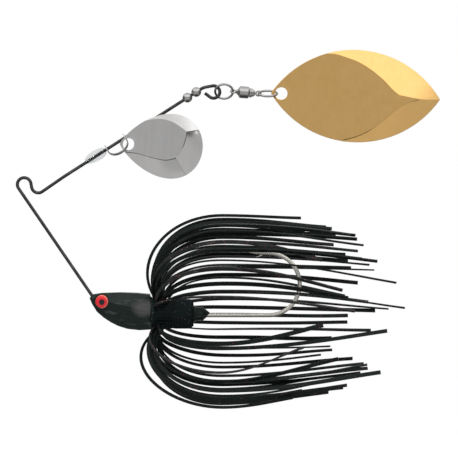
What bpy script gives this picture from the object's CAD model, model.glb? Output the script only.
"""The spinnerbait's looks: fine pieces with procedural finishes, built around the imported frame.

Lengths are in millimetres and are scaled when a mesh is made. X runs from the line tie towards the tail,
Z is up, and the camera looks along Y.
"""

import math
import random

import bmesh
import bpy
import numpy as np
from mathutils import Matrix, Vector
from mathutils.geometry import delaunay_2d_cdt


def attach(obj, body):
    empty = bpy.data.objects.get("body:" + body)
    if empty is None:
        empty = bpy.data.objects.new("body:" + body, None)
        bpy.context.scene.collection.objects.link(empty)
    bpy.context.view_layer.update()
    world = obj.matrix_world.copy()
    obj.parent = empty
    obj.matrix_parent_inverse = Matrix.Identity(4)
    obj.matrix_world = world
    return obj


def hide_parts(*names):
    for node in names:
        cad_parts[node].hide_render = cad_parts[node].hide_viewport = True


MM = 0.001
SIDE_X = Vector((1, 0, 0))
FRONT = Vector((0, -1, 0))
UP = Vector((0, 0, 1))

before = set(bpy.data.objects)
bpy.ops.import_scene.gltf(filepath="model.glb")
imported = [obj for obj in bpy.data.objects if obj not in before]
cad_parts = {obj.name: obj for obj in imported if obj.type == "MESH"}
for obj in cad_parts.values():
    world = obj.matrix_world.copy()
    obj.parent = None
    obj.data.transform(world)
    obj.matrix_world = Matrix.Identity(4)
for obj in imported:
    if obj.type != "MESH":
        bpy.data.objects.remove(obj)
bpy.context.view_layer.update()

# ---------------------------------------------------------------- the part's own sizes
WIRE_DIAMETER = 1.05
TIE_BEND_RADIUS = 2.2
TIE_BEND_TOP = Vector((0.05, 0, 1.05))
LEG_HEADING = -55.6
LEG_LENGTH = 46.2
ARM_START_HEADING = 34.6
ARM_HEADING = 32.6
ARM_START_LENGTH = 8.5
ARM_LENGTH = 52.4
TIE_DIP_TURN = 80.3
TIE_DIP_LENGTH = 1.26
ARM_END_RADIUS = 5.0
ARM_END_HEADING = 10.0
ARM_END_LENGTH = 2.0
LOOP_RADIUS = 2.0
LOOP_TURN = 227.0
AXIS_Z = -42.8
EYE_CENTRE = Vector((25.3, 0, -38.8))
EYE_RADIUS = 2.15
EYE_OUT = 2.1
HEEL_RISE = 0.8
HOOK_DIAMETER = 1.35
HOOK_Z = -43.3
HOOK_START_X = 51.0
HOOK_BEND_X = 78.9
HOOK_BEND_RADIUS = 10.0
HOOK_BEND_TURN = 176.0
HOOK_RETURN_LENGTH = 4.6
HOOK_POINT_LENGTH = 3.6
HOOK_POINT_STEPS = 8
BARB_WIDTH = 0.75
BARB_THICKNESS = 0.55
CORE_START_X = 43.0
COLLAR_START_X = 47.7
COLLAR_END_X = 54.2
COLLAR_RADIUS = 4.9
STRAND_ROOT_RADIUS = 4.6
STRAND_ROOT_STEP = 1.2
STRAND_THICKNESSES = (0.5, 0.64)
STRAND_WIDTHS = (1.15, 1.4)
LEAD_SLIMNESS = 0.72
LEAD_BOW_HIGH = 3.2
LEAD_BOW_LOW = 6.2
LOW_BOW = 3.2
WAVES = 1.4
SKIRT_HEIGHT = 32.0
SKIRT_DEPTH = 24.0
WORN_FRONT_STRANDS = (3, 6, 9, 12)
# Each strand's tip (x, height over the axis) and the height that it crests at on the way.
FRONT_STRANDS = (
    (89, 30.8, 31.6), (104, 25.5, 28.8), (108, 22.5, 26.6), (95, 18, 23.2), (112, 17.5, 20.8),
    (118, 10.5, 17.6), (101, 8.5, 15.0), (103, 6.0, 10.4), (120, 3.4, 8.2), (105, 1.6, 6.4), (95, -2.0, -8.0),
    (115, -4.0, -9.8), (89, -9, -17.0), (100, -12.8, -20.4), (113, -17, -23.0), (103, -21.5, -26.4),
    (86, -25.5, -29.0),
)
BACK_STRANDS = (
    (98, 28, 30.2), (91, 26.4, 28.4), (107, 24.4, 26.2), (109, 20, 23.0), (95, 18, 19.4), (113, 15.2, 18.2),
    (115, 13.5, 14.4), (105, 5, 11.0), (120, 0.5, 3.6), (106, -1.6, -1.6), (114, -6.6, -6.6), (100, -12, -12.4),
    (97, -15, -17.6), (111, -17.5, -21.4), (110, -20.5, -24.6), (94, -24, -27.6), (99, -26.5, -29.9),
)
# Further strands near the middle plane: the share of the skirt's depth, then the same three numbers, and the
# packed strand that each one moves with.
MIDDLE_STRANDS = (
    (-0.35, (99, 27.4, 29.4), 1), (0.1, (107, 25.2, 28.4), 1), (0.5, (94, 27.0, 29.2), 18),
    (-0.4, (93, -25.0, -28.0), 17), (0.1, (103, -24.0, -27.2), 17), (0.5, (90, -25.6, -28.6), 34),
)
CREST_X = 64.0
SPACER_AT = 12.2
SPACER_LENGTH = 7.4
SPACER_RADIUS = 1.9
CLEVIS_AT = 16.5
CLEVIS_SPAN = 7.0
CLEVIS_STRAIGHT = 1.6
CLEVIS_WIDTH = 1.1
CLEVIS_THICKNESS = 0.35
CLEVIS_EAR_RADIUS = 1.4
CLEVIS_TURN = 45.0
LOWER_BALL_AT = 47.3
UPPER_BALL_AT = 50.7
BALL_RADIUS = 1.6
WIRE_BORE_RADIUS = 0.65
FRONT_BLADE_LENGTH = 26.85
FRONT_BLADE_HALF_WIDTH = 10.4
FRONT_BLADE_TIP = Vector((31.0, -1.5, 11.9))
FRONT_BLADE_DROP = 3.1
FRONT_BLADE_TILT = 5.0
FRONT_HOLE = (2.92, 0, 1.9)
BLADE_THICKNESS = 0.45
STEP_WIDTH = 0.26
STEP_DROP = 0.2
RING_WIRE = 0.75
RING_RADIUS = 2.87
FRONT_RING_CENTRE = Vector((64.5, 0, 28.85))
FRONT_RING_TURN = 42.0
REAR_RING_RADIUS = 3.0
REAR_RING_CENTRE = Vector((78.6, 0, 28.2))
REAR_RING_TURN = -68.0
EYE_WIRE = 0.5
EYE_RING_RADIUS = 0.8
FRONT_EYE_X = 67.45
ROTOR_EYE_X = 75.55
HOUSING_START = 2.15
HOUSING_LENGTH = 3.1
CAP_LENGTH = 1.8
BEARING_BALLS = 6
REAR_BLADE_LENGTH = 54.5
REAR_BLADE_HALF_WIDTH = 14.9
REAR_BLADE_TIP = Vector((79.6, 0.37, 28.33))
REAR_BLADE_DROP = 2.3
REAR_HOLE = (3.35, 0, 2.0)
BLADE_EASE = 0.09
HOLE_STEPS = 40

# The camera's lens and sensor are in millimetres, and the rest of the studio is in metres.
LENS = 120.0
SENSOR_WIDTH = 36.0
FRAMED_WIDTH = 0.1477
LOOKED_AT = Vector((0.0661, 0, -0.0155))
LAMPS_AIM = Vector((0.066, 0, -0.015))
FLOOR_CENTRE = Vector((0.066, 0.035, -0.095))
FLOOR_RADIUS = 0.1


# ---------------------------------------------------------------- finishes
class Nodes:
    """Short calls that make shader nodes and join them."""

    def __init__(self, tree):
        self.tree = tree

    def node(self, kind, inputs=(), output=0, **settings):
        made = self.tree.nodes.new(kind)
        for key, value in settings.items():
            setattr(made, key, value)
        for key, value in dict(inputs).items():
            if isinstance(value, bpy.types.NodeSocket):
                self.tree.links.new(value, made.inputs[key])
            else:
                made.inputs[key].default_value = value
        return made.outputs[output]

    def ramp(self, value, *stops, easing="LINEAR"):
        """Colours or greys at positions along a value."""
        made = self.tree.nodes.new("ShaderNodeValToRGB")
        made.color_ramp.interpolation = easing
        self.tree.links.new(value, made.inputs[0])
        line = made.color_ramp.elements
        while len(line) < len(stops):
            line.new(0.5)
        for element, (position, colour) in zip(line, stops):
            element.position = position
            grey = isinstance(colour, (int, float))
            element.color = (colour, colour, colour, 1) if grey else (*colour, 1)
        return made.outputs[0]

    def mix(self, share, first, second, kind="MIX"):
        made = self.tree.nodes.new("ShaderNodeMix")
        made.data_type = "RGBA"
        made.blend_type = kind
        for socket, value in ((made.inputs[0], share), (made.inputs[6], first), (made.inputs[7], second)):
            if isinstance(value, bpy.types.NodeSocket):
                self.tree.links.new(value, socket)
            else:
                socket.default_value = value if isinstance(value, (int, float)) else (*value, 1)
        return made.outputs[2]

    def math(self, kind, *values):
        return self.node("ShaderNodeMath", enumerate(values), operation=kind)

    def vector(self, kind, *values):
        """Vector arithmetic, which gives a number where the kind is LENGTH."""
        return self.node("ShaderNodeVectorMath", enumerate(values), int(kind == "LENGTH"), operation=kind)


class Finish(Nodes):
    """A Principled material, with calls for what feeds it."""

    def __init__(self, name, **sockets):
        self.material = bpy.data.materials.new(name)
        self.material.use_nodes = True
        super().__init__(self.material.node_tree)
        self.shader = self.tree.nodes["Principled BSDF"]
        for socket, value in sockets.items():
            title = socket.replace("_", " ").title().replace("Ior", "IOR")
            self.shader.inputs[title].default_value = value
        self.place = self.node("ShaderNodeTexCoord", output="Object")

    def stretched(self, x, y, z):
        """Object coordinates scaled by a factor along each axis."""
        return self.node("ShaderNodeMapping", {"Vector": self.place, "Scale": (x, y, z)})

    def noise(self, scale, detail=3.0, vector=None, distortion=0.0):
        return self.node(
            "ShaderNodeTexNoise",
            {"Vector": vector or self.place, "Scale": scale, "Detail": detail, "Distortion": distortion},
        )

    def feed(self, socket, value):
        self.tree.links.new(value, self.shader.inputs[socket])

    def bump(self, height, strength, distance):
        """Raises the surface by a height pattern; distance in millimetres."""
        inputs = {"Height": height, "Strength": strength, "Distance": distance * MM}
        self.feed("Normal", self.node("ShaderNodeBump", inputs))


def polished(name, dark, light, rough_low, rough_high, scale, bump, stretch=(1, 1, 1)):
    """A metal whose tint and gloss vary a little, with fine marks along one direction."""
    finish = Finish(name, metallic=1.0)
    marks = finish.noise(scale, 5.0, finish.stretched(*stretch))
    clouds = finish.noise(260.0, 2.0)
    both = finish.mix(0.5, marks, clouds)
    finish.feed("Base Color", finish.ramp(both, (0.3, dark), (0.7, light)))
    finish.feed("Roughness", finish.ramp(marks, (0.3, rough_low), (0.7, rough_high)))
    finish.bump(marks, bump, 0.02)
    return finish.material


def gunmetal():
    """Dark satin wire, paler in patches where it is rubbed."""
    finish = Finish("gunmetal_wire", metallic=1.0)
    fine = finish.noise(2600.0, 4.0)
    worn = finish.noise(420.0, 3.0)
    tint = finish.ramp(
        worn, (0.35, (0.055, 0.056, 0.058)), (0.62, (0.095, 0.095, 0.098)), (0.78, (0.16, 0.158, 0.155))
    )
    finish.feed("Base Color", tint)
    finish.feed("Roughness", finish.ramp(fine, (0.3, 0.3), (0.7, 0.46)))
    finish.bump(fine, 0.25, 0.03)
    return finish.material


def head_paint():
    """Black paint with a green cast, slightly uneven, with rubbed streaks and a worn grey oval on the cheek."""
    finish = Finish("black_head", coat_weight=0.025, coat_roughness=0.15, specular_ior_level=0.24)
    peel = finish.noise(900.0, 2.0)
    clouds = finish.noise(190.0, 3.0, distortion=0.4)
    scuffs = finish.noise(700.0, 6.0, finish.stretched(0.35, 1, 1.6))
    tint = finish.ramp(clouds, (0.3, (0.002, 0.007, 0.005)), (0.7, (0.006, 0.013, 0.010)))
    rubbed = finish.ramp(scuffs, (0.58, 0.0), (0.72, 0.6))
    worn = finish.mix(rubbed, tint, (0.06, 0.068, 0.066))
    cheek = finish.vector("SUBTRACT", finish.place, (0.0393, 0, -0.0410))
    oval = finish.vector("MULTIPLY", cheek, (1 / 4.4, 0, 1 / 2.8))
    reach = finish.math("MULTIPLY", finish.vector("LENGTH", oval), 600.0)
    broken = finish.math("ADD", reach, finish.math("MULTIPLY", clouds, 0.4))
    smooth = finish.ramp(broken, (0.54, 0.85), (0.88, 0.0))
    finish.feed("Base Color", finish.mix(smooth, worn, (0.064, 0.063, 0.063)))
    finish.feed("Roughness", finish.ramp(scuffs, (0.3, 0.2), (0.75, 0.5)))
    finish.bump(peel, 0.35, 0.05)
    return finish.material


def flaked(name, dark, light, flakes, share, roughness, scale):
    """Silicone or rubber with glitter flakes in it, each cell of a fine pattern either plain or a flake."""
    finish = Finish(name, specular_ior_level=0.16)
    cells = finish.node("ShaderNodeTexVoronoi", {"Vector": finish.place, "Scale": scale}).node.outputs
    chance = finish.node("ShaderNodeSeparateColor", {"Color": cells["Color"]})
    core = finish.ramp(cells["Distance"], (0.28, 1.0), (0.42, 0.0))
    chosen = finish.ramp(chance, (1 - share, 0.0), (1 - share + 0.01, 1.0))
    shown = finish.mix(1.0, chosen, core, "MULTIPLY")
    hue = finish.node("ShaderNodeSeparateColor", {"Color": cells["Color"]}, output=1)
    clouds = finish.noise(330.0, 3.0)
    body = finish.ramp(clouds, (0.35, dark), (0.7, light))
    tints = finish.ramp(hue, (0.0, flakes[0]), (0.55, flakes[1]), (1.0, flakes[2]))
    finish.feed("Base Color", finish.mix(shown, body, tints))
    finish.feed("Roughness", finish.ramp(clouds, (0.3, roughness - 0.06), (0.7, roughness + 0.08)))
    finish.bump(finish.noise(1900.0, 2.0), 0.2, 0.04)
    return finish.material


def eye_enamel():
    """A red iris with a paler rim and a black pupil, painted by the distance from the eye's middle."""
    finish = Finish("red_eye", coat_weight=0.18, coat_roughness=0.05, roughness=0.3, specular_ior_level=0.3)

    def share_out(place):
        flat = finish.vector("MULTIPLY", place, (1 / MM, 1 / MM, 0))
        return finish.math("DIVIDE", finish.vector("LENGTH", flat), EYE_RADIUS)

    pupil_place = finish.vector("ADD", finish.place, (0.22 * MM, 0.16 * MM, 0))
    speck = finish.noise(2400.0, 2.0)
    red = finish.ramp(speck, (0.3, (0.48, 0.008, 0.016)), (0.7, (0.68, 0.020, 0.032)))
    pupil = finish.ramp(share_out(pupil_place), (0.41, 0.0), (0.46, 1.0))
    inner = finish.mix(pupil, (0.008, 0.010, 0.012), red)
    pale = finish.ramp(share_out(finish.place), (0.82, 0.0), (0.9, 1.0))
    finish.feed("Base Color", finish.mix(pale, inner, (0.66, 0.15, 0.11)))
    finish.bump(speck, 0.1, 0.02)
    return finish.material


def clear_bead():
    """Clear plastic, faintly clouded."""
    finish = Finish("clear_plastic", transmission_weight=1.0, ior=1.09, roughness=0.02)
    haze = finish.noise(300.0, 3.0)
    finish.feed("Base Color", finish.ramp(haze, (0.3, (0.83, 0.85, 0.85)), (0.7, (0.90, 0.92, 0.92))))
    return finish.material


METALS = {
    "nickel_hook": ((0.68, 0.66, 0.59), (0.78, 0.76, 0.70), 0.2, 0.3, 520.0, 0.05, (0.3, 1, 1)),
    "nickel": ((0.45, 0.445, 0.435), (0.59, 0.58, 0.57), 0.19, 0.3, 1100.0, 0.07),
    "nickel_worn": ((0.56, 0.55, 0.54), (0.68, 0.67, 0.66), 0.32, 0.46, 1300.0, 0.12),
    "silver_blade": ((0.66, 0.65, 0.645), (0.71, 0.70, 0.695), 0.11, 0.16, 900.0, 0.05, (1, 0.1, 1)),
    "gold_blade": ((0.90, 0.545, 0.195), (0.95, 0.60, 0.225), 0.11, 0.15, 1100.0, 0.03, (0.8, 0.3, 1)),
}
RUBBERS = {
    "black_silicone": (
        (0.0032, 0.0070, 0.0060), (0.0080, 0.0108, 0.0098),
        ((0.12, 0.015, 0.02), (0.16, 0.05, 0.05), (0.10, 0.08, 0.075)), 0.03, 0.42, 2300.0,
    ),
    "black_silicone_worn": (
        (0.0115, 0.0130, 0.0125), (0.0280, 0.0290, 0.0280),
        ((0.18, 0.035, 0.035), (0.28, 0.11, 0.10), (0.20, 0.15, 0.13)), 0.12, 0.45, 2300.0,
    ),
    "black_silicone_root": (
        (0.0016, 0.0046, 0.0048), (0.0045, 0.0090, 0.0090),
        ((0.10, 0.02, 0.03), (0.12, 0.08, 0.09), (0.10, 0.10, 0.10)), 0.03, 0.45, 2300.0,
    ),
    "black_rubber": (
        (0.0015, 0.0045, 0.005), (0.004, 0.0085, 0.009),
        ((0.12, 0.06, 0.07), (0.1, 0.13, 0.14), (0.16, 0.14, 0.14)), 0.04, 0.55, 2600.0,
    ),
}
FINISHES = {
    "gunmetal_wire": gunmetal(),
    "black_head": head_paint(),
    "red_eye": eye_enamel(),
    "clear_plastic": clear_bead(),
    **{name: polished(name, *settings) for name, settings in METALS.items()},
    **{name: flaked(name, *settings) for name, settings in RUBBERS.items()},
}


# ---------------------------------------------------------------- mesh helpers
def full_turn(steps):
    """The angles of evenly spaced steps round a circle."""
    return [2 * math.pi * step / steps for step in range(steps)]


class Shape:
    """Vertices and faces in millimetres, gathered from sweeps and turned profiles."""

    def __init__(self):
        self.points = []
        self.faces = []

    def ring(self, points):
        first = len(self.points)
        self.points.extend(points)
        return list(range(first, first + len(points)))

    def bridge(self, first, second):
        """Quads between two loops of the same size, or a fan where one loop is a single point."""
        count = max(len(first), len(second))
        for index in range(count):
            follow = (index + 1) % count
            if len(first) == 1:
                self.faces.append((first[0], second[follow], second[index]))
            elif len(second) == 1:
                self.faces.append((first[index], first[follow], second[0]))
            else:
                self.faces.append((first[index], first[follow], second[follow], second[index]))

    def skin(self, loops, closed):
        """Bridges each loop to the next, and the last one to the first where the skin is closed."""
        for first, second in zip(loops, loops[1:] + (loops[:1] if closed else [])):
            self.bridge(first, second)
        return self

    def sweep(self, points, section, closed=False, normal=None):
        """A section carried along a path. section(share) gives its corners as (across, up) offsets."""
        rails = carried(points, closed, normal)
        loops = []
        for index, (point, (across, up)) in enumerate(zip(points, rails)):
            corners = section(index / (len(points) - 1))
            loops.append(self.ring([point + across * a + up * b for a, b in corners]))
        if not closed:
            self.faces += [tuple(reversed(loops[0])), tuple(loops[-1])]
        return self.skin(loops, closed)

    def turn(self, profile, at, axis, steps=40, closed=False):
        """A profile of (radius, distance along the axis) swept round the axis."""
        side = axis.orthogonal().normalized()
        up = axis.cross(side)
        loops = []
        for radius, along in profile:
            centre = at + axis * along
            loops.append(self.ring([centre] if radius < 1e-6 else circle(centre, side, up, radius, steps)))
        return self.skin(loops, closed)


def carried(points, closed, normal):
    """The across and up directions at each point of a path, without twist along it."""
    count = len(points)
    tangents = []
    for index in range(count):
        before = points[index - 1] if closed or index else points[0]
        after = points[(index + 1) % count] if closed else points[min(index + 1, count - 1)]
        tangents.append((after - before).normalized())
    up = (normal or tangents[0].orthogonal()).normalized()
    rails = []
    for tangent in tangents:
        up = (up - tangent * up.dot(tangent)).normalized()
        rails.append((tangent.cross(up), up.copy()))
    return rails


def circle(centre, across, up, radius, steps=72):
    return [centre + (across * math.cos(turn) + up * math.sin(turn)) * radius for turn in full_turn(steps)]


def round_section(radius, corners, flat=1.0):
    return [(radius * math.cos(turn), radius * flat * math.sin(turn)) for turn in full_turn(corners)]


def strap_section(wide, thick, turn=0.0, corner=0.3):
    """A rectangle with its corners cut back, turned by an angle."""
    a, b = wide / 2, thick / 2
    cut = corner * min(a, b)
    half = [(a - cut, -b), (a, -b + cut), (a, b - cut), (a - cut, b)]
    c, s = math.cos(turn), math.sin(turn)
    return [(x * c - y * s, x * s + y * c) for x, y in half + [(-x, -y) for x, y in half]]


def filleted(profile, radius, closed=False, steps=4):
    """A polyline with its corners rounded."""
    made = []
    count = len(profile)
    for index, point in enumerate(profile):
        here = Vector(point)
        if not closed and index in (0, count - 1):
            made.append(tuple(here))
            continue
        before, after = Vector(profile[index - 1]), Vector(profile[(index + 1) % count])
        reach = min(radius, (before - here).length * 0.45, (after - here).length * 0.45)
        start = here + (before - here).normalized() * reach
        end = here + (after - here).normalized() * reach
        for step in range(steps + 1):
            share = step / steps
            made.append(tuple(start.lerp(here, share).lerp(here.lerp(end, share), share)))
    return made


def face_outwards(mesh):
    """Every closed shell of a mesh gets its faces' outer sides outwards."""
    shells = bmesh.new()
    shells.from_mesh(mesh)
    bmesh.ops.recalc_face_normals(shells, faces=shells.faces)
    shells.to_mesh(mesh)
    shells.free()


def modified(item, kind, **settings):
    modifier = item.modifiers.new(kind.lower(), kind)
    for key, value in settings.items():
        setattr(modifier, key, value)


def placed(name, data):
    """A new object in the scene."""
    item = bpy.data.objects.new(name, data)
    bpy.context.scene.collection.objects.link(item)
    return item


def coat(item, finish):
    item.data.materials.clear()
    item.data.materials.append(FINISHES[finish])


def piece(name, shape, finish, body, nodes=(), matrix=None, sharp=32):
    """An object from a shape: finished, riding on a body, and standing for CAD nodes."""
    mesh = bpy.data.meshes.new(name)
    mesh.from_pydata([tuple(point * MM) for point in shape.points], [], shape.faces)
    mesh.validate()
    face_outwards(mesh)
    mesh.shade_smooth()
    mesh.set_sharp_from_angle(angle=math.radians(sharp))
    item = placed(name, mesh)
    if matrix is not None:
        item.matrix_world = matrix
    coat(item, finish)
    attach(item, body)
    if nodes:
        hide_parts(*nodes)


class Route:
    """A path in the XZ plane that is drawn by going straight and turning."""

    def __init__(self, start, heading):
        self.points = [start.copy()]
        self.heading = heading

    def direction(self):
        angle = math.radians(self.heading)
        return Vector((math.cos(angle), 0, math.sin(angle)))

    def straight(self, length, pieces=1):
        for _ in range(pieces):
            self.points.append(self.points[-1] + self.direction() * (length / pieces))
        return self

    def turn(self, radius, degrees, pieces=24):
        step = degrees / pieces
        chord = 2 * radius * math.sin(math.radians(abs(step)) / 2)
        for _ in range(pieces):
            self.heading += step / 2
            self.points.append(self.points[-1] + self.direction() * chord)
            self.heading += step / 2
        return self


def bezier(controls, share):
    points = list(controls)
    while len(points) > 1:
        points = [first.lerp(second, share) for first, second in zip(points, points[1:])]
    return points[0]


# ---------------------------------------------------------------- wire, head, eyes and hook
def wire_points():
    """The whole wire's centre line, and the point where the straight upper arm starts."""
    leg = Route(TIE_BEND_TOP, 180)
    leg.turn(TIE_BEND_RADIUS, 180 + LEG_HEADING).straight(LEG_LENGTH, 12)
    arm = Route(TIE_BEND_TOP, 0)
    arm.turn(TIE_BEND_RADIUS, -TIE_DIP_TURN, 16).straight(TIE_DIP_LENGTH)
    arm.turn(TIE_BEND_RADIUS, TIE_DIP_TURN + ARM_START_HEADING, 22).straight(ARM_START_LENGTH, 4)
    arm.heading = ARM_HEADING
    start = arm.points[-1].copy()
    arm.straight(ARM_LENGTH, 16)
    arm.turn(ARM_END_RADIUS, ARM_END_HEADING - ARM_HEADING, 8).straight(ARM_END_LENGTH)
    arm.turn(LOOP_RADIUS, -LOOP_TURN, 40).straight(ARM_END_LENGTH)
    return list(reversed(leg.points)) + arm.points[1:], start


WIRE_POINTS, ARM_START = wire_points()
ARM = Vector((math.cos(math.radians(ARM_HEADING)), 0, math.sin(math.radians(ARM_HEADING))))


def on_arm(distance):
    return ARM_START + ARM * distance


def build_wire():
    shape = Shape().sweep(WIRE_POINTS, lambda share: round_section(WIRE_DIAMETER / 2, 20), normal=FRONT)
    piece("wire_form_drawn", shape, "gunmetal_wire", "wire_form", ["wire_arm"])


def build_head():
    """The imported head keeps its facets, with their edges eased, and gets a rounded rear."""
    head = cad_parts["lead_head"]
    modified(head, "WELD", merge_threshold=0.01 * MM)
    modified(head, "BEVEL", width=0.35 * MM, segments=3, limit_method="ANGLE", angle_limit=math.radians(11))
    coat(head, "black_head")
    heel = [(0, 42.1), (2.4, 42.0), (3.6, 41.75), (4.5, 41.3), (5.0, 40.6), (0, 40.6)]
    shape = Shape().turn(filleted(heel, 0.6), Vector((0, 0, AXIS_Z + HEEL_RISE)), SIDE_X, 48)
    piece("head_heel", shape, "black_head", "wire_form", sharp=60)


def build_eyes():
    """Domed discs in the head's seats; each one's X points to the nose, which puts the pupils off centre."""
    profile = [
        (0, 0), (EYE_RADIUS, 0), (EYE_RADIUS, 0.1), (2.1, 0.3), (1.95, 0.45), (1.7, 0.57), (1.35, 0.66),
        (0.98, 0.71), (0.5, 0.74), (0, 0.75),
    ]
    for name, side in (("left_eye", -1), ("right_eye", 1)):
        outward = Vector((-0.24, side, 0)).normalized()
        seat = EYE_CENTRE + Vector((0, side * EYE_OUT, 0)) + outward * 0.1
        shape = Shape().turn(profile, Vector((0, 0, 0)), UP * side, 48)
        across = UP.cross(outward).normalized()
        towards_nose = across if across.x < 0 else -across
        matrix = Matrix((towards_nose, UP, outward * side)).transposed().to_4x4()
        matrix = Matrix.Translation(seat * MM) @ matrix
        piece(f"{name}_enamel", shape, "red_eye", "wire_form", [name], matrix=matrix, sharp=50)


def build_hook():
    """The shank and round bend, a ground point, and a barb lifted from its inner side."""
    route = Route(Vector((HOOK_START_X, 0, HOOK_Z)), 0)
    route.straight(HOOK_BEND_X - HOOK_START_X, 10)
    route.turn(HOOK_BEND_RADIUS, HOOK_BEND_TURN, 48).straight(HOOK_RETURN_LENGTH, 4)
    route.straight(HOOK_POINT_LENGTH, HOOK_POINT_STEPS)
    last = len(route.points) - 1

    def section(share):
        left = (last - share * last) / HOOK_POINT_STEPS
        radius = HOOK_DIAMETER / 2 * (1.0 if left >= 1 else 0.06 + 0.94 * left**0.7)
        return round_section(radius, 18)

    shape = Shape().sweep(route.points, section, normal=FRONT)
    point_start = route.points[-1 - HOOK_POINT_STEPS]
    root = point_start + Vector((2.3, 0, -0.25))
    tip = point_start + Vector((-0.2, 0, -1.55))
    barb = [
        root.lerp(tip, step / 6) - Vector((0, 0, 0.25 * math.sin(math.pi * step / 6))) for step in range(7)
    ]

    def barb_section(share):
        return strap_section(BARB_WIDTH * (1 - 0.85 * share), BARB_THICKNESS * (1 - 0.9 * share))

    shape.sweep(barb, barb_section, normal=FRONT)
    piece("hook_forged", shape, "nickel_hook", "wire_form", ["hook"])


# ---------------------------------------------------------------- skirt
def leads(index, count, side):
    """Whether a strand is one of the two that bow forwards clear of the rest."""
    return side == -1 and index in (0, count - 1)


def strand_path(index, count, side, strand, draw):
    """A strand leaves the roots forwards and outwards, crests, and then sweeps back to its tip."""
    tip_x, height, crest = strand
    rise = math.cos(math.pi * (index + 0.5) / count)
    if side < 0:
        rise = math.copysign(0.45 + 0.55 * abs(rise), crest)
    outward = Vector((0, side * math.sqrt(1 - rise * rise), rise))
    root_x = CORE_START_X - 0.4 + STRAND_ROOT_STEP * (int(index + max(side, 0)) % 3)
    reach = side * SKIRT_DEPTH * (1.0 - 0.16 * (int(index) % 2))

    def depth(level):
        return reach * math.sqrt(1 - (level / SKIRT_HEIGHT) ** 2)

    swell = abs(crest) / SKIRT_HEIGHT
    root = outward * STRAND_ROOT_RADIUS
    top = Vector((0, depth(crest), crest))
    end = Vector((0, depth(height), height))
    forward = 7.5 * swell - 2.4 + (LOW_BOW if crest < 0 else 0.0) + draw.uniform(-1.5, 1.5)
    if leads(index, count, side):
        forward += LEAD_BOW_HIGH if crest > 0 else LEAD_BOW_LOW
    rising = (
        SIDE_X * root_x + root, SIDE_X * (root_x - forward) + root.lerp(top, 0.42),
        SIDE_X * (51 - 6 * swell) + top, SIDE_X * CREST_X + top,
    )
    falling = (
        SIDE_X * CREST_X + top, SIDE_X * (CREST_X + 0.4 * (tip_x - CREST_X)) + top,
        SIDE_X * (CREST_X + 0.7 * (tip_x - CREST_X)) + top.lerp(end, 0.6), SIDE_X * tip_x + end,
    )
    lift = Vector((0, 0, AXIS_Z))
    points = [bezier(rising, step / 26) + lift for step in range(26)]
    return points + [bezier(falling, step / 22) + lift for step in range(23)]


def strand_shape(path, draw, slim=1.0):
    """One soft flat strand with a slow twist, a little waver and a cut end."""
    wide, thick = draw.uniform(*STRAND_WIDTHS) * slim, draw.uniform(*STRAND_THICKNESSES)
    start_turn, twist = draw.uniform(-1.5, 1.5), draw.uniform(-1.6, 1.6)
    phase, waver = draw.uniform(0, 6.3), draw.uniform(0.05, 0.5)
    points = []
    for step, point in enumerate(path):
        share = step / (len(path) - 1)
        sway = waver * math.sin(2 * math.pi * WAVES * share + phase) * share
        points.append(point + Vector((0, sway, 0.7 * sway)))

    def section(share):
        full = 0.82 + 0.18 * min(1.0, share * 6)
        return strap_section(wide * full, thick * full, start_turn + twist * share, 0.35)

    return Shape().sweep(points, section, normal=Vector((0.3, 1, 0.2)))


def build_skirt():
    """A strand for each packed one, and further ones that move with it. Returns where each one starts."""
    draw = random.Random(11)
    number = 0
    roots = []
    for side, strands in ((-1, FRONT_STRANDS), (1, BACK_STRANDS)):
        for index, strand in enumerate(strands):
            number += 1
            path = strand_path(index, len(strands), side, strand, draw)
            roots.append(path[0])
            worn = side < 0 and index in WORN_FRONT_STRANDS
            tone = "black_silicone_worn" if worn else "black_silicone"
            slim = LEAD_SLIMNESS if leads(index, len(strands), side) else 1.0
            name, body = f"skirt_strand_{number:02d}", f"strand_{number:02d}"
            piece(f"{name}_soft", strand_shape(path, draw, slim), tone, body, [name])
            if index + 1 == len(strands):
                continue
            beside = [0.5 * (a + b) for a, b in zip(strand, strands[index + 1])]
            if side < 0 and (abs(beside[2]) < 19 or index % 2 == 0):
                continue
            beside[0] += draw.uniform(-8, 4)
            beside[2] = beside[1] + draw.uniform(0.5, 1.1) * (beside[2] - beside[1])
            path = strand_path(index + 0.5, len(strands), side, beside, draw)
            roots.append(path[0])
            piece(f"{name}_beside", strand_shape(path, draw), "black_silicone", body)
    count = len(FRONT_STRANDS)
    for place, (side, strand, number) in enumerate(MIDDLE_STRANDS, 1):
        path = strand_path(0 if strand[2] > 0 else count - 1, count, side, strand, draw)
        roots.append(path[0])
        piece(f"skirt_middle_{place}", strand_shape(path, draw), "black_silicone", f"strand_{number:02d}")
    return roots


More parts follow.
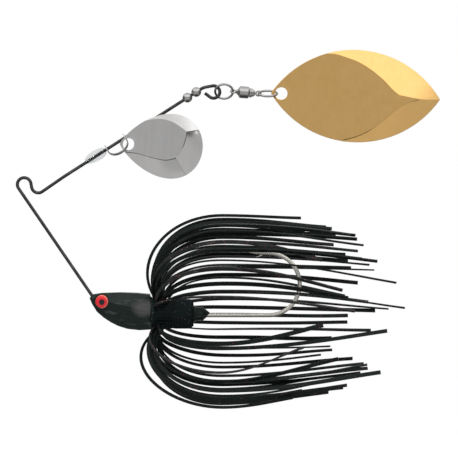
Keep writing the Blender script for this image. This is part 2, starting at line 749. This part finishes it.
def build_roots(roots):
    """The strands' packed roots, which run from each strand's foot back under the band."""
    draw = random.Random(5)
    shape = Shape()
    axis = Vector((0, 0, AXIS_Z))
    for rise in (-0.42, -0.22, -0.02, 0.18, 0.38):
        facing = FRONT * math.sqrt(1 - rise * rise) + Vector((0, 0, rise))
        roots = roots + [axis + SIDE_X * draw.uniform(41.8, 42.6) + facing * 4.2]
    for root in roots:
        outward = Vector((0, root.y, root.z - AXIS_Z)).normalized()
        start = axis + SIDE_X * (COLLAR_END_X + draw.uniform(-0.3, 0.5)) + outward * 3.7
        middle = axis + SIDE_X * COLLAR_START_X + outward * 4.7
        bend = Vector((root.x + 2.2, 0, AXIS_Z)) + outward * 4.0
        end = root - SIDE_X * 0.25 + outward * 0.1
        points = [bezier((start, middle, bend, end), step / 13) for step in range(14)]
        wide = draw.uniform(0.9, 1.15)
        shape.sweep(points, lambda share: strap_section(wide, 0.6, 0.3, 0.35), normal=outward)
    filler = [
        (0, COLLAR_END_X - 0.2), (3.5, COLLAR_END_X - 0.2), (4.1, COLLAR_START_X), (4.1, 43.8), (5.2, 42.0),
        (5.0, 41.1), (0, 41.0),
    ]
    shape.turn(filleted(filler, 0.5), axis, SIDE_X, 32)
    piece("skirt_roots", shape, "black_silicone_root", "wire_form", ["skirt_core"])


def build_collar():
    """The rubber band, ribbed by the strands under it, with a wavering edge."""
    ribs, around, along = 26, 104, 14
    length = COLLAR_END_X - COLLAR_START_X
    shape = Shape()
    loops = []
    for step in range(along + 1):
        share = step / along
        loop = []
        for angle in full_turn(around):
            rib = 0.09 * abs(math.cos(angle * ribs / 2)) + 0.08 * math.sin(3 * angle + 1)
            edge = 0.35 * (2 * abs(share - 0.5)) ** 8
            radius = COLLAR_RADIUS - 0.2 + rib - edge
            x = COLLAR_START_X + length * share + 0.18 * math.sin(5 * angle) * share
            loop.append(Vector((x, radius * math.cos(angle), AXIS_Z + radius * math.sin(angle))))
        loops.append(shape.ring(loop))
    for x in (COLLAR_END_X - 0.15, COLLAR_START_X + 0.15):
        centre = Vector((x, 0, AXIS_Z))
        loops.append(shape.ring(circle(centre, -FRONT, UP, COLLAR_RADIUS - 0.9, around)))
    shape.skin(loops, True)
    piece("skirt_band", shape, "black_rubber", "wire_form", ["skirt_collar"])


# ---------------------------------------------------------------- arm beads and clevis
def build_arm_beads():
    """The clear spacer and the two steel balls, bored for the wire."""
    half = SPACER_LENGTH / 2
    outer = []
    for step in range(25):
        along = half - SPACER_LENGTH * step / 24
        swell = math.sqrt(1 - (along / (half * 1.12)) ** 2)
        outer.append((max(SPACER_RADIUS * swell, WIRE_BORE_RADIUS + 0.3), along))
    profile = outer + [(WIRE_BORE_RADIUS, -half), (WIRE_BORE_RADIUS, half)]
    shape = Shape().turn(profile, on_arm(SPACER_AT), ARM, 48, closed=True)
    piece("spacer_bead_clear", shape, "clear_plastic", "spacer", ["spacer_bead"], sharp=50)
    flat = math.sqrt(BALL_RADIUS**2 - WIRE_BORE_RADIUS**2)
    edge = math.atan2(flat, WIRE_BORE_RADIUS)
    arc = [edge - 2 * edge * step / 25 for step in range(26)]
    ball = [(BALL_RADIUS * math.cos(angle), BALL_RADIUS * math.sin(angle)) for angle in arc]
    for name, body, at in (
        ("ball_bead_lower", "lower_ball", LOWER_BALL_AT), ("ball_bead_upper", "upper_ball", UPPER_BALL_AT),
    ):
        shape = Shape().turn(ball, on_arm(at), ARM, 48, closed=True)
        piece(f"{name}_steel", shape, "nickel", body, [name], sharp=50)


def clevis_outward():
    below = Vector((ARM.z, 0, -ARM.x))
    turn = math.radians(CLEVIS_TURN)
    return below * math.cos(turn) + FRONT * math.sin(turn)


def strap_point(turn):
    """A point on the clevis strap's half circle, from the lower ear (0) to the upper one (180)."""
    middle = on_arm(CLEVIS_AT + CLEVIS_SPAN / 2) + clevis_outward() * CLEVIS_STRAIGHT
    angle = math.radians(turn)
    return middle + (clevis_outward() * math.sin(angle) - ARM * math.cos(angle)) * (CLEVIS_SPAN / 2)


def build_clevis():
    """A rounded strap bent into a half circle, with an ear at each end that the wire runs through."""
    outward = clevis_outward()
    feet = [on_arm(CLEVIS_AT) + outward * 0.75, on_arm(CLEVIS_AT + CLEVIS_SPAN) + outward * 0.75]
    points = [feet[0]] + [strap_point(180 * step / 36) for step in range(37)] + [feet[1]]
    shape = Shape().sweep(points, lambda share: round_section(CLEVIS_WIDTH / 2, 20, 0.38), normal=ARM)
    half, inner, outer = CLEVIS_THICKNESS / 2, WIRE_BORE_RADIUS, CLEVIS_EAR_RADIUS
    ear = filleted([(inner, -half), (outer, -half), (outer, half), (inner, half)], 0.09, closed=True, steps=2)
    for at in (CLEVIS_AT, CLEVIS_AT + CLEVIS_SPAN):
        shape.turn(ear, on_arm(at), ARM, 40, closed=True)
    piece("clevis_strap", shape, "nickel_worn", "clevis", ["clevis"])


# ---------------------------------------------------------------- blades
def both_sides(upper, length):
    return [(0, 0)] + upper + [(length, 0)] + [(x, -y) for x, y in reversed(upper)]


def nearest(outline, side, x):
    """The outline's point on one side that lies nearest to an x."""
    return min((point for point in outline if point[1] * side > 0), key=lambda point: abs(point[0] - x))


def teardrop(length, half_width, per_side=90):
    front, back = 0.82, 0.5
    peak = front / (front + back)
    scale = half_width / (peak**front * (1 - peak) ** back)
    upper = []
    for step in range(1, per_side):
        share = (1 - math.cos(math.pi * step / per_side)) / 2
        upper.append((length * share, scale * share**front * (1 - share) ** back))
    return both_sides(upper, length)


def pointed_oval(length, half_width, per_side=110):
    radius = ((length / 2) ** 2 + half_width**2) / (2 * half_width)
    reach = math.asin(length / 2 / radius)
    upper = []
    for step in range(1, per_side):
        angle = reach * (2 * step / per_side - 1)
        upper.append((length / 2 + radius * math.sin(angle), half_width - radius * (1 - math.cos(angle))))
    return both_sides(upper, length)


def smooth_line(points, spacing):
    """A Catmull-Rom curve through points, sampled about every spacing."""
    line = [Vector(point) for point in points]
    padded = [line[0] * 2 - line[1]] + line + [line[-1] * 2 - line[-2]]
    made = []
    for before, start, end, after in zip(padded, padded[1:], padded[2:], padded[3:]):
        pieces = max(1, round((end - start).length / spacing))
        for step in range(pieces):
            t = step / pieces
            squared = (2 * before - 5 * start + 4 * end - after) * t * t
            cubed = (3 * start - before - 3 * end + after) * t**3
            made.append(0.5 * (2 * start + (end - before) * t + squared + cubed))
    return made + [line[-1]]


def inside(outline, x, y):
    """Whether a point lies in an outline."""
    found = False
    for (x1, y1), (x2, y2) in zip(outline, outline[1:] + outline[:1]):
        if (y1 > y) != (y2 > y) and x < (x2 - x1) * (y - y1) / (y2 - y1) + x1:
            found = not found
    return found


def blade_shape(outline, rim_height, ridges, hole, spacing=0.9):
    """A stamped sheet: heights are held on the rim and the ridges, and run smoothly in between."""
    fixed, points, edges = {}, [], []

    def chain(line, heights, closed=False):
        """Adds a line's points and edges, sharing the points that are there already."""
        numbers = []
        for (x, y), height in zip(line, heights):
            same = [index for index, (a, b) in enumerate(points) if abs(a - x) + abs(b - y) < 0.06]
            if not same:
                fixed[len(points)] = height
                points.append((x, y))
            numbers.append(same[0] if same else len(points) - 1)
        joined = zip(numbers, numbers[1:] + (numbers[:1] if closed else []))
        edges.extend(pair for pair in joined if pair[0] != pair[1])

    chain(outline, [rim_height(x, y) for x, y in outline], True)
    rim_edges = len(edges)
    for runs, step_side in ridges:
        line, heights = [], []
        for controls, height in runs:
            run = smooth_line(controls, spacing * 0.6)
            levels = [height(*point) for point in run]
            chain(run, levels)
            shared = min(len(line), 1)
            line, heights = line + run[shared:], heights + levels[shared:]
        if step_side:
            chain(*stepped(line, heights, step_side))
    creases = edges[rim_edges:]
    hole_x, hole_y, hole_radius = hole
    first_hole = len(points)
    points += [(hole_x + x, hole_y + y) for x, y in round_section(hole_radius, HOLE_STEPS)]
    edges.extend((first_hole + step, first_hole + (step + 1) % HOLE_STEPS) for step in range(HOLE_STEPS))
    taken = np.array(points)
    xs = np.arange(taken[:, 0].min(), taken[:, 0].max(), spacing)
    ys = np.arange(taken[:, 1].min(), taken[:, 1].max(), spacing * 0.866)
    for row, y in enumerate(ys):
        for x in xs + (spacing / 2 if row % 2 else 0):
            clear = np.hypot(taken[:, 0] - x, taken[:, 1] - y).min() > spacing * 0.6
            if clear and inside(outline, x, y) and math.hypot(x - hole_x, y - hole_y) > hole_radius:
                points.append((x, y))
    flat = [Vector(point) for point in points]
    made, _, faces, origins, _, _ = delaunay_2d_cdt(flat, edges, [], 0, 1e-6)
    where = [origin[0] if origin else None for origin in origins]
    kept = []
    for face in faces:
        middle = sum((made[index] for index in face), Vector((0, 0))) / 3
        from_hole = math.hypot(middle.x - hole_x, middle.y - hole_y)
        if inside(outline, *middle) and from_hole > hole_radius * 0.998:
            kept.append(tuple(face))
    held = {index: fixed[origin] for index, origin in enumerate(where) if origin in fixed}
    number_of = {origin: index for index, origin in enumerate(where) if origin is not None}
    crease_pairs = [(number_of[a], number_of[b]) for a, b in creases if a in number_of and b in number_of]
    return made, relaxed(made, kept, held), kept, crease_pairs


def stepped(line, heights, side):
    """The foot of the small step that the die leaves along one side of a ridge."""
    foot, lowered = [], []
    for index in range(1, len(line) - 1):
        along = (line[index + 1] - line[index - 1]).normalized()
        fade = min(1.0, index / 2, (len(line) - 1 - index) / 2)
        point = line[index] + Vector((-along.y, along.x)) * side * STEP_WIDTH
        if min((point - other).length for other in line) > 0.9 * STEP_WIDTH:
            foot.append(tuple(point))
            lowered.append(heights[index] - STEP_DROP * fade)
    return foot, lowered


def relaxed(points, faces, fixed):
    """Heights that are held at some points and run between them like a stretched film."""
    pulls = np.zeros((len(points), len(points)))
    for face in faces:
        for turn in range(3):
            a, b, c = (face[(turn + step) % 3] for step in range(3))
            first, second = points[a] - points[c], points[b] - points[c]
            doubled_area = max(abs(first.x * second.y - first.y * second.x), 1e-6)
            pull = max(first.dot(second) / doubled_area, 0.0) / 2 + 1e-4
            pulls[a, b] += pull
            pulls[b, a] += pull
    heights = np.array([fixed.get(index, 0.0) for index in range(len(points))])
    free = [index for index in range(len(points)) if index not in fixed and pulls[index].any()]
    balance = (np.diag(pulls.sum(axis=1)) - pulls)[np.ix_(free, free)]
    heights[free] = np.linalg.solve(balance, pulls[free] @ heights)
    return heights.tolist()


def build_blade(name, parts, finish, body, node, matrix):
    """A blade from its sheet: creased along its ridges, given its thickness and an eased rim."""
    points, heights, faces, creases = parts
    used = sorted({index for face in faces for index in face})
    order = {index: row for row, index in enumerate(used)}
    mesh = bpy.data.meshes.new(name)
    mesh.from_pydata(
        [(points[index].x * MM, points[index].y * MM, heights[index] * MM) for index in used],
        [], [tuple(order[index] for index in face) for face in faces],
    )
    if mesh.polygons[0].normal.z < 0:
        mesh.flip_normals()
    mesh.validate()
    mesh.shade_smooth()
    pairs = {frozenset((order[a], order[b])) for a, b in creases if a in order and b in order}
    sharp = mesh.attributes.get("sharp_edge") or mesh.attributes.new("sharp_edge", "BOOLEAN", "EDGE")
    for edge in mesh.edges:
        sharp.data[edge.index].value = frozenset(edge.vertices) in pairs
    item = placed(name, mesh)
    modified(item, "SOLIDIFY", thickness=BLADE_THICKNESS * MM, offset=-1, use_even_offset=True)
    modified(
        item, "BEVEL", width=BLADE_EASE * MM, segments=2, limit_method="ANGLE",
        angle_limit=math.radians(50), harden_normals=True,
    )
    item.matrix_world = matrix
    coat(item, finish)
    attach(item, body)
    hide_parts(node)


def blade_matrix(tip, drop, tilt):
    """Stands a blade up from the plane it is drawn in, with its tip in place."""
    upright = Matrix.Rotation(math.radians(90), 4, "X")
    turned_down = Matrix.Rotation(math.radians(drop), 4, "Y")
    towards = Matrix.Rotation(math.radians(-tilt), 4, "Z")
    return Matrix.Translation(tip * MM) @ turned_down @ towards @ upright


def build_rear_blade():
    """A flat front facet that rises to a curved ridge, and two rear facets that meet it in an apex."""
    apex, joint = (41.1, 0.7), (48.3, -0.2)
    upper_x, lower_x = 17.4, 22.6
    tip_height, tail_height, rise = 0.3, 1.4, 0.0875

    def face(x, y):
        if x <= apex[0]:
            return tip_height + rise * x
        share = (x - apex[0]) / (REAR_BLADE_LENGTH - apex[0])
        return face(*apex) + (tail_height - face(*apex)) * share

    def eased(x, y):
        """The same fall, begun softly, so that the lower ridge has no corner in it."""
        reach, turn = 2.5, rise + (face(*apex) - tail_height) / (REAR_BLADE_LENGTH - apex[0])
        past = x - apex[0]
        fallen = max(past, 0.0) if abs(past) > reach else (past + reach) ** 2 / (4 * reach)
        return tip_height + rise * x - turn * fallen

    def rim(x, y):
        start = upper_x if y > 0 else lower_x
        if x <= start:
            return face(x, y)
        share = (x - start) / (REAR_BLADE_LENGTH - start)
        return face(start, y) + (tail_height - face(start, y)) * share

    outline = pointed_oval(REAR_BLADE_LENGTH, REAR_BLADE_HALF_WIDTH)
    upper = [
        nearest(outline, 1, upper_x), (20.4, 13.2), (23.4, 12.4), (27.5, 11.0), (31.6, 8.7), (35.8, 5.5),
        (38.9, 2.4), apex,
    ]
    lower = [
        nearest(outline, -1, lower_x), (27.7, -13.0), (32.1, -10.8), (36.4, -7.3), (40.7, -3.4), (44.3, -1.3),
        joint,
    ]
    tail = [apex, joint, (REAR_BLADE_LENGTH, 0)]
    ridges = (([(upper, face)], 0), ([(lower, eased)], -1), ([(tail, eased)], 0))
    parts = blade_shape(outline, rim, ridges, REAR_HOLE)
    matrix = blade_matrix(REAR_BLADE_TIP, REAR_BLADE_DROP, 0)
    build_blade("rear_blade_gold", parts, "gold_blade", "rear_blade", "rear_blade", matrix)


def build_front_blade():
    """A long front facet, with an upper crescent, a rear facet and a lower facet round it."""
    upper, lower = (21.7, 4.8), (18.7, -3.7)
    start_x, near_tip_x, right_x, foot_x = 7.9, 1.8, 25.3, 21.9
    edge_height = 0.3

    def face(x, y):
        return edge_height + 0.1148 * x - 0.0156 * y

    def rim(x, y):
        if x <= (start_x if y > 0 else near_tip_x):
            return face(x, y)
        if y > 0:
            return max(edge_height, face(start_x, 7.5) - 0.12 * (x - start_x))
        return edge_height

    def rear_rim(x, y):
        """The rear facet's rim sits a step lower than its neighbours' rims."""
        if x > foot_x and -8.0 < y < 5.6:
            return edge_height - STEP_DROP * min(1.0, (y + 8.0) / 4.0, (5.6 - y) / 2.0)
        return rim(x, y)

    def falling(corner, end):
        def height(x, y):
            reach = math.hypot(end[0] - corner[0], end[1] - corner[1])
            share = math.hypot(x - corner[0], y - corner[1]) / reach
            return face(*corner) + (edge_height - face(*corner)) * share

        return height

    outline = teardrop(FRONT_BLADE_LENGTH, FRONT_BLADE_HALF_WIDTH)
    start, right = nearest(outline, 1, start_x), nearest(outline, 1, right_x)
    near_tip, foot = nearest(outline, -1, near_tip_x), nearest(outline, -1, foot_x)
    crescent = [start, (10.4, 8.3), (12.8, 8.5), (15.3, 8.2), (17.8, 7.3), (20.4, 5.7), upper]
    rear = [upper, (21.4, 2.6), (20.7, 0.0), (19.8, -1.8), lower]
    keel = [near_tip, (4.6, -2.6), (7.5, -3.1), (11.0, -3.9), (15.3, -4.5), lower]
    ridges = (
        ([(crescent, face)], 0),
        ([([right, upper], falling(upper, right)), (rear, face)], 1),
        ([(keel, face), ([lower, (20.1, -5.9), foot], falling(lower, foot))], -1),
    )
    parts = blade_shape(outline, rear_rim, ridges, FRONT_HOLE, 0.6)
    matrix = blade_matrix(FRONT_BLADE_TIP, FRONT_BLADE_DROP, FRONT_BLADE_TILT)
    build_blade("front_blade_silver", parts, "silver_blade", "front_blade", "front_blade", matrix)


# ---------------------------------------------------------------- swivel
def tangent(turn):
    """The direction across a ring that is turned about the lure's length."""
    angle = math.radians(turn)
    return Vector((0, -math.sin(angle), math.cos(angle)))


def build_ring(body, centre, turn, radius):
    up = tangent(turn)
    line = circle(centre, SIDE_X, up, radius)
    shape = Shape().sweep(line, lambda share: round_section(RING_WIRE / 2, 16), True, SIDE_X.cross(up))
    piece(f"{body}_nickel", shape, "nickel", body, [f"swivel_{body}"], sharp=60)


def build_eye_piece(node, body, centre, normal, stem, stem_at, axis):
    """A small bent eye on a turned stem."""
    line = circle(centre, axis, normal.cross(axis).normalized(), EYE_RING_RADIUS, 40)
    shape = Shape().sweep(line, lambda share: round_section(EYE_WIRE / 2, 14), True, normal)
    shape.turn(filleted(stem, 0.08), stem_at, axis, 32)
    piece(f"{node}_nickel", shape, "nickel", body, [node], sharp=50)


def build_swivel():
    """Both rings, the front eye, the housing and its cap, the rotor with its eye, and the bearing's balls."""
    build_ring("front_ring", FRONT_RING_CENTRE, FRONT_RING_TURN, RING_RADIUS)
    build_ring("rear_ring", REAR_RING_CENTRE, REAR_RING_TURN, REAR_RING_RADIUS)
    start = Vector((FRONT_EYE_X, 0, FRONT_RING_CENTRE.z))
    end = Vector((ROTOR_EYE_X, 0, REAR_RING_CENTRE.z))
    axis = (end - start).normalized()
    front_stem = [
        (0, HOUSING_START + 1.2), (0.7, HOUSING_START + 1.15), (0.7, HOUSING_START + 0.85),
        (0.3, HOUSING_START + 0.8), (0.3, EYE_RING_RADIUS - 0.1), (0, EYE_RING_RADIUS - 0.1),
    ]
    build_eye_piece("swivel_front_eye", "swivel", start, tangent(FRONT_RING_TURN), front_stem, start, axis)
    length = HOUSING_LENGTH
    housing = [
        (1.3, length), (1.82, length - 0.28), (1.92, length - 0.6), (1.95, 0.1), (1.75, -0.12), (0.85, -0.75),
        (0.48, -1.35), (0.38, -1.35), (0.38, 0.5), (1.65, 1.0), (1.55, length - 0.5), (1.2, length),
    ]
    at = start + axis * HOUSING_START
    cap = [
        (0.75, CAP_LENGTH), (0.95, CAP_LENGTH - 0.15), (1.35, 0.8), (1.66, 0.2), (1.2, 0.03), (0.5, 0.45),
        (0.5, CAP_LENGTH),
    ]
    for node, profile, base, steps in (
        ("swivel_housing", housing, at, 56), ("swivel_cap", cap, at + axis * length, 48),
    ):
        shape = Shape().turn(filleted(profile, 0.1, True), base, axis, steps, closed=True)
        piece(f"{node}_nickel", shape, "nickel", "swivel", [node], sharp=50)
    flange = 1.5
    rotor_end = (end - at).length - EYE_RING_RADIUS + 0.1
    rotor = [
        (0, rotor_end), (0.36, rotor_end), (0.36, flange + 0.4), (1.25, flange + 0.35), (1.25, flange),
        (0, flange),
    ]
    build_eye_piece("swivel_rotor", "rotor", end, tangent(REAR_RING_TURN), rotor, at, axis)
    for number in range(1, BEARING_BALLS + 1):
        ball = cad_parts[f"swivel_ball_{number}"]
        coat(ball, "nickel")


# ---------------------------------------------------------------- studio
def build_floor():
    """A pale round floor that mirrors don't show."""
    mesh = bpy.data.meshes.new("floor")
    mesh.from_pydata(circle(FLOOR_CENTRE, SIDE_X, -FRONT, FLOOR_RADIUS, 64), [], [tuple(range(64))])
    paper = Finish("floor_paper", roughness=0.9, specular_ior_level=0.1)
    paper.feed("Base Color", paper.ramp(paper.noise(40.0, 2.0), (0.3, 0.93), (0.7, 0.96)))
    mesh.materials.append(paper.material)
    floor = placed("floor", mesh)
    floor.visible_glossy = False


def build_world():
    """Soft light in bands of grey along each axis, which reflections show, on a plain white background."""
    world = bpy.data.worlds.new("studio")
    bpy.context.scene.world = world
    world.use_nodes = True
    nodes = Nodes(world.node_tree)
    place = nodes.node("ShaderNodeTexCoord", output="Generated")

    def banded(axis, *stops):
        """Greys along one axis, from -1 to 1."""
        along = nodes.node("ShaderNodeSeparateXYZ", {0: place}, axis)
        half = nodes.math("MULTIPLY_ADD", along, 0.5, 0.5)
        return nodes.ramp(half, *((at / 2 + 0.5, grey) for at, grey in stops), easing="EASE")

    height = banded(
        "Z", (-0.97, 0.1), (-0.86, 0.16), (-0.76, 0.42), (-0.54, 0.5), (-0.42, 0.6), (-0.2, 0.56), (0.1, 0.5),
        (0.22, 0.5), (0.37, 1.34), (0.7, 1.34), (0.9, 1.0), (1.0, 0.9),
    )
    depth = banded("Y", (0.1, 1.0), (0.6, 0.45), (0.84, 0.3), (0.95, 1.5))
    side = banded("X", (-0.95, 0.25), (-0.74, 1.0), (0.7, 1.0), (0.85, 0.25))
    bands = nodes.mix(1.0, nodes.mix(1.0, height, depth, "MULTIPLY"), side, "MULTIPLY")
    shown = nodes.mix(nodes.node("ShaderNodeLightPath", output="Is Camera Ray"), bands, (1, 1, 1))
    nodes.tree.links.new(shown, nodes.tree.nodes["Background"].inputs["Color"])


def build_lamps():
    """Two soft discs of light, aimed at the lure, that mirrors don't show."""
    for name, at, power, size in (
        ("key", (-0.25, -0.35, 0.75), 7.0, 0.35), ("rim", (0.55, 0.45, 0.6), 4.0, 0.3),
    ):
        data = bpy.data.lights.new(name, "AREA")
        data.shape = "DISK"
        data.size = size
        data.energy = power
        item = placed(name, data)
        item.location = at
        item.visible_glossy = False
        item.rotation_euler = (LAMPS_AIM - Vector(at)).to_track_quat("-Z", "Y").to_euler()


def build_camera():
    """A long lens that looks along Y, square to the lure."""
    lens = bpy.data.cameras.new("camera")
    lens.lens = LENS
    lens.sensor_width = SENSOR_WIDTH
    lens.clip_start, lens.clip_end = 0.01, 20.0
    camera = placed("camera", lens)
    camera.location = LOOKED_AT + FRONT * (FRAMED_WIDTH / SENSOR_WIDTH * LENS)
    camera.rotation_euler = (math.pi / 2, 0, 0)
    bpy.context.scene.camera = camera


def main():
    bpy.context.scene.view_settings.view_transform = "Standard"
    build_floor()
    build_world()
    build_lamps()
    build_camera()
    build_wire()
    build_head()
    build_eyes()
    build_hook()
    build_roots(build_skirt())
    build_collar()
    build_arm_beads()
    build_clevis()
    build_rear_blade()
    build_front_blade()
    build_swivel()


main()
